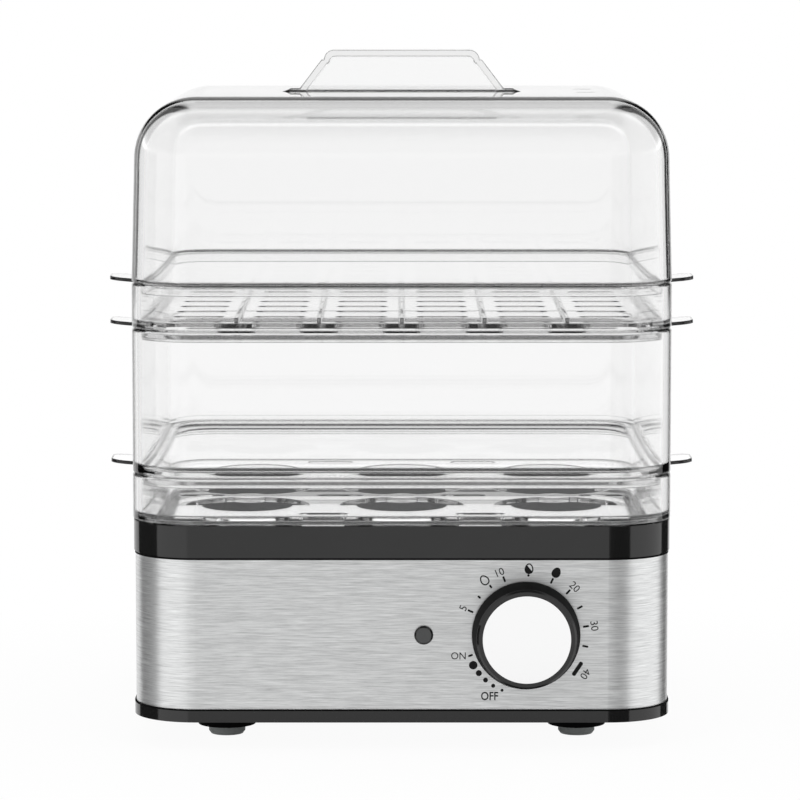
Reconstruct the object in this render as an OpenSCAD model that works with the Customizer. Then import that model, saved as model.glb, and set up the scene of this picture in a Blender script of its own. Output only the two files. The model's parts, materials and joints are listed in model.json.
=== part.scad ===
// Electric egg cooker: a steel-banded heating base with a stack of clear trays and a clear lid.
// Millimetres. Origin on the table under the middle of the base, X right, Y back, Z up.

/* [Housing] */
// Width of the steel band
body_w = 214; // [204:1:224]
// Depth of the steel band
body_d = 190; // [182:1:200]
// Plan radius of the band's corners
corner_r = 25; // [22:0.5:28]
// Thickness of the steel sheet
steel_t = 0.6; // [0.4:0.1:0.8]
// Height of the steel band
band_h = 60; // [56:1:66]
// Height of the black collar above the band
collar_h = 13.5; // [12:0.5:16]
// Height of the black edge of the base cover under the band
cover_h = 5.2; // [4.5:0.1:7]
// How far the black plastic stands proud of the steel
proud = 0.6; // [0.3:0.1:1]

/* [Feet] */
// Visible height of a rubber pad
pad_h = 4; // [3:0.5:6]
// Radius of a rubber pad
pad_r = 7.4; // [6:0.2:9]
// Height of the foot boss under the cover
boss_h = 7; // [5:0.5:9]
// Radius of the foot boss
boss_r = 11.6; // [10.4:0.2:13]
// Distance of the feet from the middle, left and right
foot_x = 71; // [66:1:76]
// Distance of the feet from the middle, front and back
foot_y = 59; // [54:1:63]

/* [Trays] */
// How far the clear walls stand proud of the steel
clear_proud = 0.8; // [0.6:0.1:1.2]
// Thickness of the tray walls
wall = 3.2; // [2.8:0.1:3.6]
// Bevel along the outside edges of each clear tier
edge = 0.8; // [0.4:0.1:1]
// Thickness of the tray floors
floor_t = 2; // [1.6:0.1:2.6]
// Depth of the lip that drops into the tier below
lip_h = 4; // [3:0.25:4.5]
// Thickness of that lip at its tip
lip_t = 1.2; // [1:0.1:1.6]
// Play between a lip and the wall around it
lip_gap = 0.6; // [0.5:0.05:0.8]
// Height of the egg tray
egg_tray_h = 18.8; // [16:0.2:24]
// Height of the lower tray
lower_tray_h = 58; // [50:1:70]
// Height of the upper tray
upper_tray_h = 18.2; // [16:0.2:26]
// How far the lifting ears reach beyond the wall
ear_reach = 13.4; // [10:0.2:16]
// Length of an ear along the side
ear_len = 22; // [18:1:40]
// Thickness of an ear
ear_t = 1.4; // [1.2:0.1:2]

/* [Egg holes] */
// Spacing of the egg holes from left to right
egg_px = 62.5; // [60:0.5:64]
// Spacing of the egg holes from front to back
egg_py = 57; // [55:0.5:58]
// Radius that carries the egg
egg_r = 18.2; // [17:0.2:19]
// Radius of the wider steam lobe
lobe_r = 25; // [23:0.2:25.6]

/* [Lid] */
// Height of the lid from its rim to its flat top
lid_h = 73.8; // [60:0.2:90]
// Thickness of the lid
lid_wall = 4.4; // [3.6:0.1:5]
// How far the lid's walls lean in towards the top
lid_lean = 1.3; // [0.5:0.1:2]
// Height of the grip above the top
grip_h = 17; // [14:0.5:22]
// Length of the grip at its base
grip_base = 86; // [76:1:96]
// Length of the grip along its top
grip_top = 60; // [52:1:66]
// Thickness of the grip from front to back
grip_d = 18; // [14:0.5:24]

/* [Controls] */
// Timer knob, distance right of the middle
knob_x = 49.3; // [40:0.5:56]
// Indicator lamp, distance right of the middle
lamp_x = 8.7; // [0:0.5:14]
// Radius of the knob at the panel
knob_r = 21.5; // [20.5:0.25:24]
// Radius of the knob at its front
knob_front_r = 19.8; // [19:0.2:20.4]
// Height of the knob
knob_h = 11.2; // [10:0.2:13]
// Radius of the bright face disc
face_r = 17.4; // [16:0.2:17.8]
// Radius of the lamp lens
lens_r = 3.75; // [3.5:0.05:4.5]

/* [Heating] */
// Margin from the band's outside to the inside of the water pan
pan_margin = 21.2; // [21:0.2:27]
// Depth of the water in the pan, floor to flange
pan_deep = 16.2; // [12:0.5:18]
// Radius of the heater ring
heater_ring_r = 45; // [40:1:48]
// Radius of the heater tube
heater_tube_r = 3.5; // [3:0.1:4]

/* [Hidden] */
$fn = 64;

// Extra length on cutting tools, so that they pass right through.
through = 1;
// Play of a fastener in its hole, and of pieces pushed together by hand.
screw_play = 0.3;
push_play = 0.1;
// Running play of the timer shaft in its bush.
run_play = 0.06;

// Levels from the table up.
cover_z = pad_h + boss_h;
band_z = cover_z + cover_h;
collar_z = band_z + band_h;
egg_z = collar_z + collar_h;
lower_z = egg_z + egg_tray_h;
upper_z = lower_z + lower_tray_h;
lid_z = upper_z + upper_tray_h;
control_z = band_z + band_h / 2;

// Base cover: floor, upstand inside the band and the screw pillars.
cover_t = 2.5;
rim_t = 4;
upstand_t = 2;
upstand_h = 8;
upstand_gap = 0.3;
pillar_r = 5.5;
pillar_h = 10.5;
post_x = body_w / 2 - 16;
post_y = body_d / 2 - 16;
post_r = 4.5;
screw_r = 1.6;
screw_head_r = 3;
screw_head_h = 2.4;
screw_l = 24;
head_seat = 5;
recess_l = 3.6;
recess_w = 0.9;
recess_h = 1.4;
vent_l = 30;
vent_w = 3;
vent_pitch = 7;
vent_off = 24;
pillar_top = cover_z + cover_t + pillar_h;

// Foot: plug of the pad inside the boss, and the step at the boss's root.
plug_r = 3.7;
plug_h = 4;
plug_end = 0.5;
boss_step = 2;
boss_step_h = 2;
pad_edge = 0.9;
pad_edge_h = 1.2;

// Collar: wall, chamfered foot, skirt inside the band and the deck that carries the pan.
collar_wall = 3.2;
collar_w = body_w + 2 * proud;
collar_d = body_d + 2 * proud;
collar_r = corner_r + proud;
collar_step = 1.2;
collar_step_in = 0.4;
collar_root = 1;
skirt_h = 7;
deck_t = 2;
deck_up = 3.8;
deck_z = collar_z + deck_up;

// Water pan, hung by its flange through the deck.
pan_w = body_w - 2 * pan_margin;
pan_d = body_d - 2 * pan_margin;
pan_t = 1.2;
pan_floor_t = 1.5;
pan_r = 17;
pan_flange = 12;
flange_r = 24;
stud_edge = 3.5;
pan_gap = 1;
gasket_t = 1.5;
gasket_w = 4;
flange_z = deck_z + deck_t + gasket_t;
pan_z = flange_z + pan_t - pan_deep - pan_floor_t;
stud_r = 1.5;
stud_l = 9;
stud_x = pan_w / 2 + pan_t + pan_flange - stud_edge;
stud_y = 40;
nut_r = 3.1;
nut_h = 2.4;

// Heater under the pan.
spreader_r = 58;
spreader_t = 3;
spreader_z = pan_z - spreader_t;
heater_sink = 1;
heater_z = spreader_z - heater_sink;
heater_gap_deg = 50;
heater_leg = 12;
pin_r = 2;
pin_l = 7;
groove_play = 0.1;
stat_r = 9;
stat_h = 8;
stat_ear = 15;
stat_ear_w = 8;
stat_ear_t = 1;
stat_screw_x = 12;
stat_screw_l = 2;
stat_head_r = 2.6;
stat_head_h = 1.6;
stat_blade_x = 4;
blade_root = 1;
blade_w = 6.3;
blade_t = 0.8;
blade_l = 8;
fuse_y = -26;
fuse_r = 3;
fuse_l = 16;
fuse_core_r = 1;
fuse_lead = 6;
clip_foot = 6;
clip_t = 0.8;
clip_w = 8;

// Timer behind the front of the band.
timer_w = 46;
timer_h = 38;
timer_d = 28;
bush_r = 4.6;
bush_l = 1.6;
bush_play = 0.6;
shaft_r = 3;
shaft_flat = 2.4;
shaft_in = 18;
timer_screw_x = 14;
timer_screw_r = 1.5;
timer_screw_l = 6;
timer_head_r = 2.8;
timer_head_h = 1.8;
timer_blade_x = 15;
timer_blade_y = -8;
shaft_end = 0.5;
bell_up = 4;
bell_post_r = 3;
bell_r = 13;
bell_h = 7;
bell_t = 1;

// Knob: a hollow skirt around a boss with a flat in its bore.
knob_gap = 0.8;
knob_cavity_r = 18.4;
knob_cavity = 7.2;
knob_boss_r = 6;
knob_boss_z = 2.4;
knob_edge = 0.8;
knob_band = 1.6;
knob_root = 0.5;
face_t = 1.6;
face_proud = 0.3;
shaft_out = knob_gap + knob_cavity;

// Indicator lamp.
lens_flange = 1.4;
lens_edge = 0.7;
lens_body_r = 3.1;
lens_l = 9;
lens_bore_r = 2.3;
neon_r = 2;
neon_l = 8;
neon_wire_r = 0.3;
neon_wire_x = 0.9;
neon_wire_l = 6;
lamp_clip_r = 5.6;
lamp_clip_t = 1;

// Gland at the back for the mains lead.
gland_x = -62;
gland_z = band_z + 18;
gland_r = 6;
gland_bore_r = 3.4;
gland_flange_r = 8;
gland_flange_h = 3;
gland_nose_h = 9.5;
gland_tail = 7;
gland_nut_h = 4;
gland_nut_r = 9;
gland_taper = 1;

// Terminal block on the cover's floor.
block_l = 34;
block_w = 15;
block_h = 13;
block_x = -58;
block_y = 50;
block_pitch = 10;
way_z = 4;
way_r = 1.6;
clamp_z = 5;
clamp_r = 2;
clamp_h = 6;
clamp_slot = 0.8;

// Clear outline and the heights of the thick ledges at the foot of each tier.
clear_w = body_w + 2 * clear_proud;
clear_d = body_d + 2 * clear_proud;
clear_r = corner_r + clear_proud;
ledge_h = 3.4;
open_ledge_h = 2.3;
ledge_gusset = 1.8;
wedge_h = 3.1;
wedge_w = 3.5;
lid_lip_t = 1.8;
drip_in = 1.5;
drip_h = 1.2;
drip_lean = 1.45;
ear_r = 6;
ear_drop = 4.6;
ear_tilt = 5;
tongue_r = 8;
tongue_out = 4;
row_slot_y = 27.2;
row_slot_in = 6;
row_slot_out = 19.7;
end_slot_in = 5;
floor_slot_w = 5;
floor_slot_l = 19;
tray_slot_l = 20.5;
tray_slot_w = 6;
tray_px = 32.7;
tray_py = 24;
tray_cols = 6;
tray_rows = 8;
rib_t = 1.6;
rib_h = 2;
grip_wall = 2.4;
grip_mouth = 3.8;
grip_corner = 4;
grip_flare = 6;
flare_r = 7.5;
flare_h = 1.3;
flare_out = 7;
vent_x = 75.4;
vent_y = 19;
lid_vent_l = 7.4;
lid_vent_w = 2;

// Rounded rectangle in plan.
module plan(w, d, r) {
    square([w - 2 * r, d], center = true);
    square([w, d - 2 * r], center = true);
    for (x = [-1, 1], y = [-1, 1])
        translate([x * (w / 2 - r), y * (d / 2 - r)])
            circle(r);
}

module slab(w, d, r, h) {
    linear_extrude(h)
        plan(w, d, r);
}

// Upright wall of thickness t that follows a rounded rectangle.
module ring(w, d, r, t, h) {
    linear_extrude(h)
        difference() {
            plan(w, d, r);
            plan(w - 2 * t, d - 2 * t, r - t);
        }
}

// Slot with round ends, along X.
module slot(l, w) {
    square([l - w, w], center = true);
    for (x = [-1, 1])
        translate([x * (l - w) / 2, 0])
            circle(w / 2);
}

module four(x, y) {
    for (i = [-1, 1], j = [-1, 1])
        translate([i * x, j * y, 0])
            children();
}

// Places on the front and back of the band; local Z points out of the panel and local Y up or down.
module on_front(x, z) {
    translate([x, -body_d / 2, z])
        rotate([90, 0, 0])
            children();
}

module on_back(x, z) {
    translate([x, body_d / 2, z])
        rotate([-90, 0, 0])
            children();
}

// Round bar with one flat side.
module d_profile(r, flat) {
    intersection() {
        circle(r);
        translate([-2 * r, -2 * r])
            square([4 * r, 2 * r + flat]);
    }
}

// Base: cover, feet, steel band and collar.

module bottom_cover() {
    rim_w = body_w + 2 * proud;
    rim_d = body_d + 2 * proud;
    rim_r = corner_r + proud;
    inset = steel_t + upstand_gap;
    color("#2b2b2b")
        difference() {
            union() {
                translate([0, 0, cover_z]) {
                    slab(rim_w, rim_d, rim_r, cover_t);
                    ring(rim_w, rim_d, rim_r, rim_t, cover_h);
                    ring(body_w - 2 * inset, body_d - 2 * inset, corner_r - inset,
                         upstand_t, cover_h + upstand_h);
                    four(post_x, post_y)
                        cylinder(h = cover_t + pillar_h, r = pillar_r);
                }
                four(foot_x, foot_y) {
                    translate([0, 0, pad_h])
                        cylinder(h = boss_h + cover_t, r = boss_r);
                    translate([0, 0, cover_z - boss_step_h])
                        cylinder(h = boss_step_h + cover_t, r = boss_r + boss_step);
                }
            }
            four(foot_x, foot_y)
                translate([0, 0, pad_h - through])
                    cylinder(h = through + plug_h + plug_end, r = plug_r + push_play);
            four(post_x, post_y) {
                translate([0, 0, cover_z - through])
                    cylinder(h = through + head_seat, r = screw_head_r + screw_play);
                translate([0, 0, cover_z])
                    cylinder(h = cover_t + pillar_h + through, r = screw_r + screw_play);
            }
            for (x = [-1, 1], i = [-2:2])
                translate([x * vent_off, i * vent_pitch, cover_z - through])
                    linear_extrude(cover_t + 2 * through)
                        slot(vent_l, vent_w);
        }
}

module rubber_feet() {
    color("#5f6362")
        four(foot_x, foot_y)
            rotate_extrude()
                polygon([
                    [0, 0], [pad_r - pad_edge, 0], [pad_r, pad_edge_h], [pad_r, pad_h],
                    [plug_r, pad_h], [plug_r, pad_h + plug_h], [0, pad_h + plug_h]
                ]);
}

module case_screws() {
    color("#b8b8b6")
        four(post_x, post_y)
            translate([0, 0, cover_z + head_seat - screw_head_h])
                difference() {
                    union() {
                        cylinder(h = screw_head_h, r = screw_head_r);
                        cylinder(h = screw_head_h + screw_l, r = screw_r);
                    }
                    for (a = [0, 90])
                        rotate(a)
                            linear_extrude(2 * recess_h, center = true)
                                square([recess_l, recess_w], center = true);
                }
}

module steel_band() {
    color("#c3c4c4")
        difference() {
            translate([0, 0, band_z])
                ring(body_w, body_d, corner_r, steel_t, band_h);
            on_front(knob_x, control_z)
                translate([0, 0, -steel_t - through]) {
                    cylinder(h = steel_t + 2 * through, r = bush_r + bush_play);
                    for (x = [-1, 1])
                        translate([x * timer_screw_x, 0, 0])
                            cylinder(h = steel_t + 2 * through, r = timer_screw_r + screw_play);
                }
            on_front(lamp_x, control_z)
                translate([0, 0, -steel_t - through])
                    cylinder(h = steel_t + 2 * through, r = lens_body_r + push_play);
            on_back(gland_x, gland_z)
                translate([0, 0, -steel_t - through])
                    cylinder(h = steel_t + 2 * through, r = gland_r + push_play);
        }
}

module top_collar() {
    inset = steel_t + upstand_gap;
    hole_w = pan_w + 2 * (pan_t + pan_gap);
    hole_d = pan_d + 2 * (pan_t + pan_gap);
    hole_r = pan_r + pan_t + pan_gap;
    low_w = collar_w - 2 * collar_step_in;
    low_d = collar_d - 2 * collar_step_in;
    color("#2b2b2b")
        difference() {
            union() {
                translate([0, 0, collar_z + collar_step])
                    ring(collar_w, collar_d, collar_r, collar_wall, collar_h - collar_step);
                translate([0, 0, collar_z])
                    ring(low_w, low_d, collar_r - collar_step_in, collar_wall + collar_root, collar_step + collar_root);
                translate([0, 0, collar_z - skirt_h])
                    ring(body_w - 2 * inset, body_d - 2 * inset, corner_r - inset,
                         upstand_t, skirt_h + collar_root);
                translate([0, 0, deck_z])
                    slab(collar_w - collar_wall, collar_d - collar_wall,
                         collar_r - collar_wall / 2, deck_t);
                translate([0, 0, pillar_top])
                    four(post_x, post_y)
                        cylinder(h = deck_z + deck_t - pillar_top, r = post_r);
            }
            translate([0, 0, deck_z - through])
                slab(hole_w, hole_d, hole_r, deck_t + 2 * through);
            translate([0, 0, pillar_top - through])
                four(post_x, post_y)
                    cylinder(h = screw_l + through, r = screw_r + push_play);
            for (x = [-1, 1], y = [-1, 1])
                translate([x * stud_x, y * stud_y, deck_z - through])
                    cylinder(h = deck_t + 2 * through, r = stud_r + screw_play);
        }
}

// Heating: pan, gasket, spreader, tube heater and its two cut-outs.

module pan_gasket() {
    color("#8c3b32")
        translate([0, 0, deck_z + deck_t])
            ring(pan_w + 2 * (pan_t + pan_gap + gasket_w), pan_d + 2 * (pan_t + pan_gap + gasket_w),
                 pan_r + pan_t + pan_gap + gasket_w, gasket_w, gasket_t);
}

module water_pan() {
    out_w = pan_w + 2 * pan_t;
    out_d = pan_d + 2 * pan_t;
    out_r = pan_r + pan_t;
    color("#4a4b4c") {
        difference() {
            union() {
                translate([0, 0, pan_z])
                    slab(out_w, out_d, out_r, flange_z + pan_t - pan_z);
                translate([0, 0, flange_z])
                    slab(out_w + 2 * pan_flange, out_d + 2 * pan_flange, flange_r, pan_t);
            }
            translate([0, 0, pan_z + pan_floor_t])
                slab(pan_w, pan_d, pan_r, pan_deep + through);
        }
        for (x = [-1, 1], y = [-1, 1])
            translate([x * stud_x, y * stud_y, flange_z - stud_l])
                cylinder(h = stud_l + pan_t / 2, r = stud_r);
    }
}

module pan_nuts() {
    color("#b8b8b6")
        for (x = [-1, 1], y = [-1, 1])
            translate([x * stud_x, y * stud_y, deck_z - nut_h])
                difference() {
                    cylinder(h = nut_h, r = nut_r, $fn = 6);
                    translate([0, 0, -through])
                        cylinder(h = nut_h + 2 * through, r = stud_r + push_play);
                }
}

module heat_spreader() {
    color("#a9abad")
        difference() {
            translate([0, 0, spreader_z])
                cylinder(h = spreader_t, r = spreader_r);
            translate([0, 0, heater_z])
                rotate_extrude()
                    translate([heater_ring_r, 0])
                        circle(heater_tube_r + groove_play);
            for (x = [-1, 1])
                translate([x * stat_screw_x, 0, spreader_z - through])
                    cylinder(h = through + stat_screw_l + groove_play, r = stud_r + push_play);
        }
}

module heating_element() {
    start = 90 + heater_gap_deg / 2;
    color("#7d7a75")
        translate([0, 0, heater_z]) {
            rotate(start)
                rotate_extrude(angle = 360 - heater_gap_deg)
                    translate([heater_ring_r, 0])
                        circle(heater_tube_r);
            for (a = [start, start - heater_gap_deg])
                rotate(a)
                    translate([heater_ring_r, 0, 0]) {
                        sphere(heater_tube_r);
                        translate([0, 0, -heater_leg])
                            cylinder(h = heater_leg, r = heater_tube_r);
                        translate([0, 0, -heater_leg - pin_l])
                            cylinder(h = pin_l + blade_root, r = pin_r);
                    }
        }
}

// Snap-disc thermostat that trips when the pan runs dry.
module thermostat() {
    color("#d8d3c4")
        translate([0, 0, spreader_z - stat_h])
            difference() {
                union() {
                    cylinder(h = stat_h, r = stat_r);
                    translate([0, 0, stat_h - stat_ear_t])
                        linear_extrude(stat_ear_t)
                            slot(2 * stat_ear, stat_ear_w);
                    for (x = [-1, 1])
                        translate([x * stat_blade_x, 0, -blade_l])
                            linear_extrude(blade_l + blade_root)
                                square([blade_t, blade_w], center = true);
                }
                for (x = [-1, 1])
                    translate([x * stat_screw_x, 0, -through])
                        cylinder(h = stat_h + 2 * through, r = stud_r + push_play);
            }
}

module thermostat_screws() {
    color("#b8b8b6")
        for (x = [-1, 1])
            translate([x * stat_screw_x, 0, spreader_z - stat_ear_t - stat_head_h]) {
                cylinder(h = stat_head_h, r = stat_head_r);
                cylinder(h = stat_head_h + stat_ear_t + stat_screw_l, r = stud_r);
            }
}

module thermal_fuse() {
    color("#e6e2d8")
        translate([0, fuse_y, spreader_z - fuse_r - push_play])
            rotate([0, 90, 0]) {
                cylinder(h = fuse_l, r = fuse_r, center = true);
                cylinder(h = fuse_l + 2 * fuse_lead, r = fuse_core_r, center = true);
            }
}

// Saddle that holds the fuse sleeve up against the spreader.
module fuse_clip() {
    out_r = fuse_r + push_play + clip_t;
    color("#b8b8b6")
        translate([-clip_w / 2, fuse_y, spreader_z - fuse_r - push_play])
            rotate([90, 0, 90])
                linear_extrude(clip_w)
                    difference() {
                        union() {
                            circle(out_r);
                            translate([-out_r, 0])
                                square([2 * out_r, fuse_r + push_play]);
                            translate([-out_r - clip_foot, fuse_r + push_play - clip_t])
                                square([2 * (out_r + clip_foot), clip_t]);
                        }
                        circle(fuse_r + push_play);
                        translate([-fuse_r - push_play, 0])
                            square(2 * (fuse_r + push_play));
                        translate([-out_r - clip_foot, fuse_r + push_play])
                            square([2 * (out_r + clip_foot), out_r]);
                    }
}

// Clockwork timer, its shaft and the knob.

module timer_case() {
    color("#d9d6cc")
        on_front(knob_x, control_z)
            difference() {
                union() {
                    translate([-timer_w / 2, -timer_h / 2, -steel_t - timer_d])
                        cube([timer_w, timer_h, timer_d]);
                    translate([0, 0, -steel_t - blade_root])
                        cylinder(h = steel_t + blade_root + bush_l, r = bush_r);
                    for (x = [-1, 1])
                        translate([x * timer_blade_x, timer_blade_y, -steel_t - timer_d - blade_l])
                            translate([-blade_t / 2, -blade_w / 2, 0])
                                cube([blade_t, blade_w, blade_l + blade_root]);
                }
                translate([0, 0, -steel_t - shaft_in - shaft_end])
                    cylinder(h = shaft_in + steel_t + bush_l + through, r = shaft_r + run_play);
                for (x = [-1, 1])
                    translate([x * timer_screw_x, 0, -steel_t - timer_screw_l])
                        cylinder(h = timer_screw_l + through, r = timer_screw_r + push_play);
            }
}

module timer_bell() {
    color("#c9b26a")
        on_front(knob_x, control_z + bell_up)
            translate([0, 0, -steel_t - timer_d - bell_h])
                difference() {
                    cylinder(h = bell_h, r = bell_r);
                    translate([0, 0, bell_t])
                        difference() {
                            cylinder(h = bell_h, r = bell_r - bell_t);
                            cylinder(h = bell_h, r = bell_post_r);
                        }
                }
}

module timer_screws() {
    color("#b8b8b6")
        on_front(knob_x, control_z)
            for (x = [-1, 1])
                translate([x * timer_screw_x, 0, 0]) {
                    cylinder(h = timer_head_h, r = timer_head_r);
                    translate([0, 0, -steel_t - timer_screw_l + shaft_end])
                        cylinder(h = steel_t + timer_screw_l, r = timer_screw_r);
                }
}

module timer_shaft() {
    bare = knob_boss_z - shaft_end;
    color("#b0b0ae")
        on_front(knob_x, control_z) {
            translate([0, 0, -steel_t - shaft_in])
                cylinder(h = steel_t + shaft_in + bare, r = shaft_r);
            translate([0, 0, bare])
                linear_extrude(shaft_out - bare)
                    d_profile(shaft_r, shaft_flat);
        }
}

module knob_body() {
    front_z = knob_gap + knob_h;
    pocket_z = front_z + face_proud - face_t;
    web_z = knob_gap + knob_cavity;
    color("#262626")
        on_front(knob_x, control_z)
            difference() {
                union() {
                    rotate_extrude()
                        polygon([
                            [knob_cavity_r, knob_gap], [knob_r, knob_gap], [knob_r, knob_gap + knob_band],
                            [knob_front_r, front_z - knob_edge], [knob_front_r - knob_edge, front_z],
                            [face_r + push_play, front_z], [face_r + push_play, pocket_z],
                            [0, pocket_z], [0, web_z], [knob_cavity_r, web_z]
                        ]);
                    translate([0, 0, knob_boss_z])
                        cylinder(h = web_z - knob_boss_z + knob_root, r = knob_boss_r);
                }
                translate([0, 0, knob_boss_z - through])
                    linear_extrude(shaft_out - knob_boss_z + through + push_play)
                        d_profile(shaft_r + push_play / 2, shaft_flat + push_play / 2);
            }
}

module knob_face() {
    color("#f4f4f4")
        on_front(knob_x, control_z)
            translate([0, 0, knob_gap + knob_h + face_proud - face_t])
                cylinder(h = face_t, r = face_r);
}

// Indicator lamp.

module lamp_lens() {
    color("#5a5a5a")
        on_front(lamp_x, control_z)
            rotate_extrude()
                polygon([
                    [0, lens_flange], [lens_r - lens_edge, lens_flange], [lens_r, lens_flange - lens_edge],
                    [lens_r, 0], [lens_body_r, 0], [lens_body_r, -lens_l],
                    [lens_bore_r, -lens_l], [lens_bore_r, 0], [0, 0]
                ]);
}

module lamp_clip() {
    color("#b8b8b6")
        on_front(lamp_x, control_z)
            translate([0, 0, -steel_t - lamp_clip_t])
                difference() {
                    cylinder(h = lamp_clip_t, r = lamp_clip_r);
                    translate([0, 0, -through])
                        cylinder(h = lamp_clip_t + 2 * through, r = lens_body_r + push_play);
                }
}

module neon_lamp() {
    color("#d98a5a")
        on_front(lamp_x, control_z)
            translate([0, 0, -neon_l - push_play]) {
                cylinder(h = neon_l - neon_r, r = neon_r);
                translate([0, 0, neon_l - neon_r])
                    sphere(neon_r);
                for (x = [-1, 1])
                    translate([x * neon_wire_x, 0, -neon_wire_l])
                        cylinder(h = neon_wire_l + neon_r, r = neon_wire_r);
            }
}

// Rear gland and the terminals where the mains lead ends.

module cord_gland() {
    color("#262626")
        on_back(gland_x, gland_z)
            rotate_extrude()
                polygon([
                    [gland_bore_r, -gland_tail], [gland_r, -gland_tail], [gland_r, 0],
                    [gland_flange_r, 0], [gland_flange_r, gland_flange_h],
                    [gland_r, gland_flange_h + gland_taper], [gland_r - gland_taper, gland_nose_h],
                    [gland_bore_r, gland_nose_h]
                ]);
}

module gland_nut() {
    color("#262626")
        on_back(gland_x, gland_z)
            translate([0, 0, -steel_t - gland_nut_h])
                difference() {
                    cylinder(h = gland_nut_h, r = gland_nut_r, $fn = 6);
                    translate([0, 0, -through])
                        cylinder(h = gland_nut_h + 2 * through, r = gland_r + push_play);
                }
}

module terminal_block() {
    color("#ddd8c8")
        translate([block_x, block_y, cover_z + cover_t])
            difference() {
                translate([-block_l / 2, -block_w / 2, 0])
                    cube([block_l, block_w, block_h]);
                for (i = [-1:1])
                    translate([i * block_pitch, 0, 0]) {
                        translate([0, 0, clamp_z])
                            cylinder(h = block_h, r = clamp_r + push_play);
                        translate([0, 0, way_z])
                            rotate([90, 0, 0])
                                cylinder(h = block_w + 2 * through, r = way_r, center = true);
                    }
            }
}

module terminal_screws() {
    color("#c9b26a")
        for (i = [-1:1])
            translate([block_x + i * block_pitch, block_y, cover_z + cover_t + clamp_z])
                difference() {
                    cylinder(h = clamp_h, r = clamp_r);
                    translate([0, 0, clamp_h])
                        linear_extrude(2 * clamp_slot, center = true)
                            square([3 * clamp_r, clamp_slot], center = true);
                }
}

// Clear tiers. Each is drawn from the level where it rests on the tier below.

// Block with a rounded plan and bevelled edges at its foot and its top.
module tier_block(w, d, r, h) {
    for (turn = [0, 90])
        rotate([90, 0, turn])
            linear_extrude((turn == 0 ? d : w) - 2 * r, center = true) {
                half = (turn == 0 ? w : d) / 2;
                polygon([
                    [edge - half, 0], [half - edge, 0], [half, edge], [half, h - edge],
                    [half - edge, h], [edge - half, h], [-half, h - edge], [-half, edge]
                ]);
            }
    four(w / 2 - r, d / 2 - r) {
        cylinder(h = edge, r1 = r - edge, r2 = r);
        translate([0, 0, edge])
            cylinder(h = h - 2 * edge, r = r);
        translate([0, 0, h - edge])
            cylinder(h = edge, r1 = r, r2 = r - edge);
    }
}

// Wall of a tray.
module tier_wall(h) {
    difference() {
        tier_block(clear_w, clear_d, clear_r, h);
        translate([0, 0, -through])
            slab(clear_w - 2 * wall, clear_d - 2 * wall, clear_r - wall, h + 2 * through);
    }
}

// Block with a rounded plan whose sides come in by `lean` from its foot to its top.
module leaning_block(w, d, r, h, lean) {
    for (turn = [0, 90])
        rotate([90, 0, turn])
            linear_extrude((turn == 0 ? d : w) - 2 * r, center = true) {
                half = (turn == 0 ? w : d) / 2;
                polygon([[-half, 0], [half, 0], [half - lean, h], [lean - half, h]]);
            }
    four(w / 2 - r, d / 2 - r)
        cylinder(h = h, r1 = r, r2 = r - lean);
}

// The same block with its foot `inset` inside the outside of the clear tiers.
module inner_block(inset, h, lean) {
    leaning_block(clear_w - 2 * inset, clear_d - 2 * inset, clear_r - inset, h, lean);
}

// Solid for the foot of a tier, up to `top`: the ledge and the lip that drops into the tier below.
module foot_solid(top) {
    inner_block(wall / 2, top, 0);
    translate([0, 0, -lip_h])
        inner_block(wall + lip_gap, lip_h + top, 0);
}

// Foot of the lid: a plain lip with a sloped root.
module lid_seat() {
    root = wall + lip_gap + lid_lip_t;
    slope = root - lid_wall;
    difference() {
        foot_solid(slope);
        drip_groove();
        translate([0, 0, -lip_h - through])
            inner_block(root, lip_h + 2 * through, 0);
        inner_block(root, slope + through, -slope - through);
    }
}

// Drip groove in the underside of the lid's wall, which keeps condensed water off the outside.
module drip_groove() {
    difference() {
        inner_block(drip_in, drip_h, drip_lean);
        translate([0, 0, -through])
            inner_block(wall, drip_h + 2 * through, 0);
    }
    difference() {
        translate([0, 0, -edge])
            inner_block(drip_in, edge, 0);
        translate([0, 0, -edge - through])
            inner_block(wall, edge + 2 * through, 0);
    }
}

// Foot of a tray: the lip is a wedge, so that a tray finds its place by itself. The ledge above it meets
// the wall with a slope as high as `gusset`.
module seat(ledge, gusset) {
    tip = wall + lip_gap + lip_t;
    root = tip + wedge_w;
    difference() {
        foot_solid(ledge + gusset);
        translate([0, 0, -lip_h - through])
            inner_block(tip, through + lip_h - wedge_h, 0);
        translate([0, 0, -wedge_h])
            inner_block(tip, wedge_h, wedge_w);
        translate([0, 0, -through])
            inner_block(root, ledge + gusset + 2 * through, 0);
        if (gusset > 0)
            translate([0, 0, ledge])
                inner_block(wall + gusset, gusset + through, -gusset - through);
    }
}

// Flat ears to lift a tray by, one on each side, below its rim `top` and rising a little outwards.
module ears(top) {
    reach = wall / 2 + ear_reach;
    for (side = [0, 1])
        mirror([side, 0, 0])
            translate([clear_w / 2 - wall / 2, 0, top - ear_drop])
                rotate([0, -ear_tilt, 0])
                    linear_extrude(ear_t, center = true) {
                        translate([0, -ear_len / 2])
                            square([reach - ear_r, ear_len]);
                        translate([0, ear_r - ear_len / 2])
                            square([reach, ear_len - 2 * ear_r]);
                        for (y = [-1, 1])
                            translate([reach - ear_r, y * (ear_len / 2 - ear_r)])
                                circle(ear_r);
                    }
}

module tray_floor() {
    inset = wall + lip_gap + lip_t;
    slab(clear_w - 2 * inset, clear_d - 2 * inset, clear_r - inset, floor_t);
}

// Hole for one egg: a seat circle, with a wider half for steam and a round tongue in its middle.
module egg_hole() {
    circle(egg_r);
    difference() {
        intersection() {
            circle(lobe_r);
            translate([-lobe_r, 0])
                square([2 * lobe_r, lobe_r]);
        }
        translate([0, lobe_r + tongue_out])
            circle(tongue_r);
    }
}

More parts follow.
